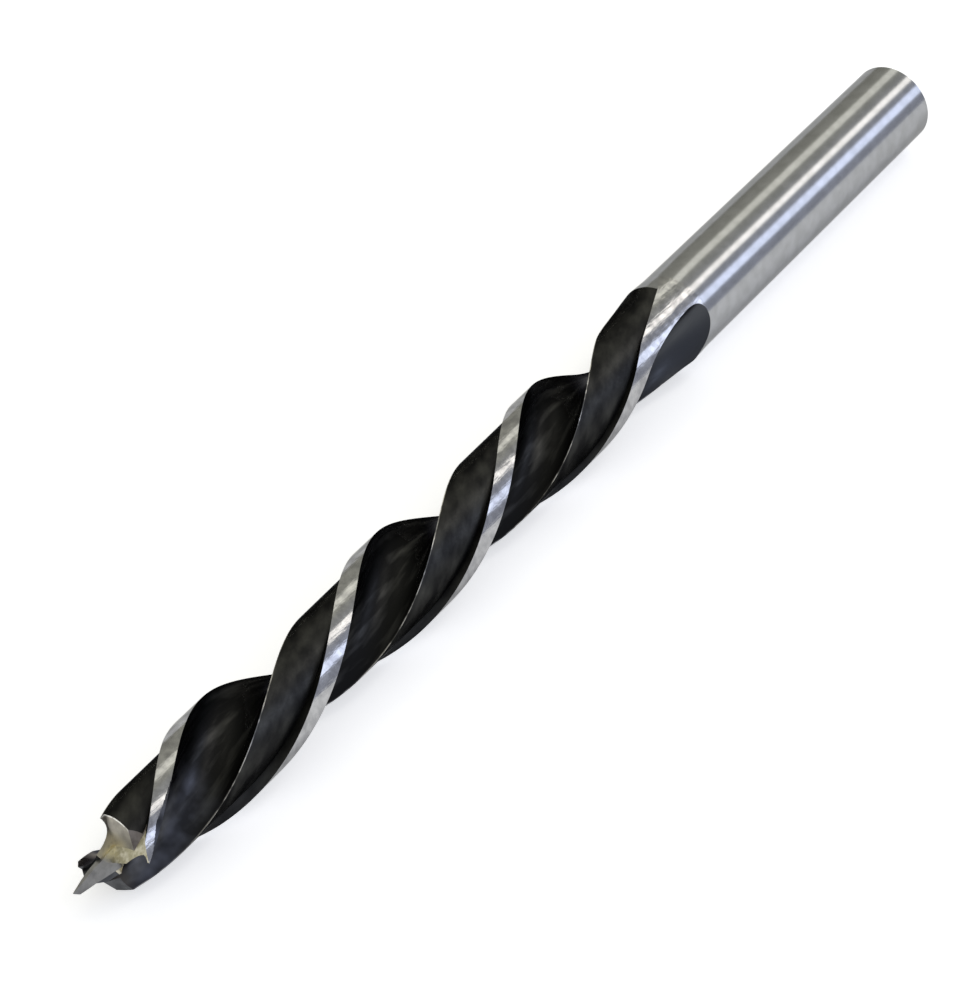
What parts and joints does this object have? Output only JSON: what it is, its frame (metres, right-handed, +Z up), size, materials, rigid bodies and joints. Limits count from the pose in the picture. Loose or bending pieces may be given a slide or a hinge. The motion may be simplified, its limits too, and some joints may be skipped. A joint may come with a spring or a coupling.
{
  "type": "wood drill bit",
  "caption": "Straight-shank twist bit for wood, with helical flutes, bright ground margins and a brad point with a centring spear.",
  "frame": {"origin": "on the surface that the bit lies on, under the middle of its length and of its axis", "axes": "+X along the bit from its tip to its shank end, +Z up, away from the surface it lies on"},
  "size_m": [0.117, 0.008, 0.008],
  "materials": {
    "tool_steel": "bright ground shank, margins and point, with black oxide in the flutes and on the backs of the lands"
  },
  "bodies": {
    "root": {"drill_bit": "tool_steel"}
  },
  "joints": []
}
